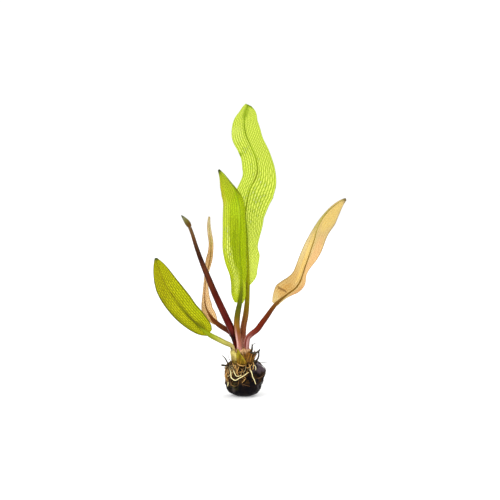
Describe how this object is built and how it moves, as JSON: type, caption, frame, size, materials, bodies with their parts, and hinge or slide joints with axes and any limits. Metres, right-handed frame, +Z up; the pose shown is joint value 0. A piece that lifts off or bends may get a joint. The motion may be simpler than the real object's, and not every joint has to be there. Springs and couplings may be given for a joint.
{
  "type": "bare-rooted madagascar lace plant",
  "caption": "Aquarium lace plant: lime, olive and amber strap leaves, a dark red flower stalk and a short crown on a dark root plug with cream roots.",
  "frame": {"origin": "centre of the root plug's flat underside", "axes": "+Z up along the leaves, +X to the right and +Y to the back as the plant is seen in the picture"},
  "size_m": [0.1633, 0.0454, 0.2492],
  "materials": {
    "leaf_lime": "thin translucent lime leaf, netted with veins",
    "leaf_olive": "thin translucent olive leaf, netted with veins",
    "leaf_amber": "thin translucent amber leaf, netted with veins",
    "stalk_maroon": "smooth dark red flower stalk, faintly ribbed",
    "bud": "dull green-black bud",
    "crown": "fleshy yellow-green crown",
    "husk_green": "yellow-green leaf base",
    "husk_cream": "cream leaf base",
    "husk_brown": "fibrous brown husk",
    "peat": "wet, near-black growing medium with a faint sheen",
    "root_cream": "cream root",
    "root_brown": "brown root"
  },
  "bodies": {
    "root": {"leaf_tall": "leaf_lime", "leaf_front": "leaf_lime", "leaf_low": "leaf_olive", "leaf_amber": "leaf_amber", "leaf_curled": "leaf_amber", "flower_stalk": "stalk_maroon", "flower_bud": "bud", "crown": "crown", "sheath_green": "husk_green", "sheath_cream": "husk_cream", "sheath_brown": "husk_brown", "sheath_right": "husk_brown", "sheath_back": "husk_brown", "root_plug": "peat", "root_loop_outer": "root_cream", "root_loop_inner": "root_cream", "root_straight": "root_cream", "root_left_thick": "root_brown", "root_left_low": "root_cream", "root_left_end": "root_brown", "root_front_thin": "root_brown", "root_front_short": "root_brown", "root_right_arc": "root_cream", "root_right_flat": "root_brown", "root_right_side": "root_brown", "root_back_right": "root_cream", "root_back_middle": "root_brown", "root_back_left": "root_cream", "root_left_side": "root_brown"}
  },
  "joints": []
}
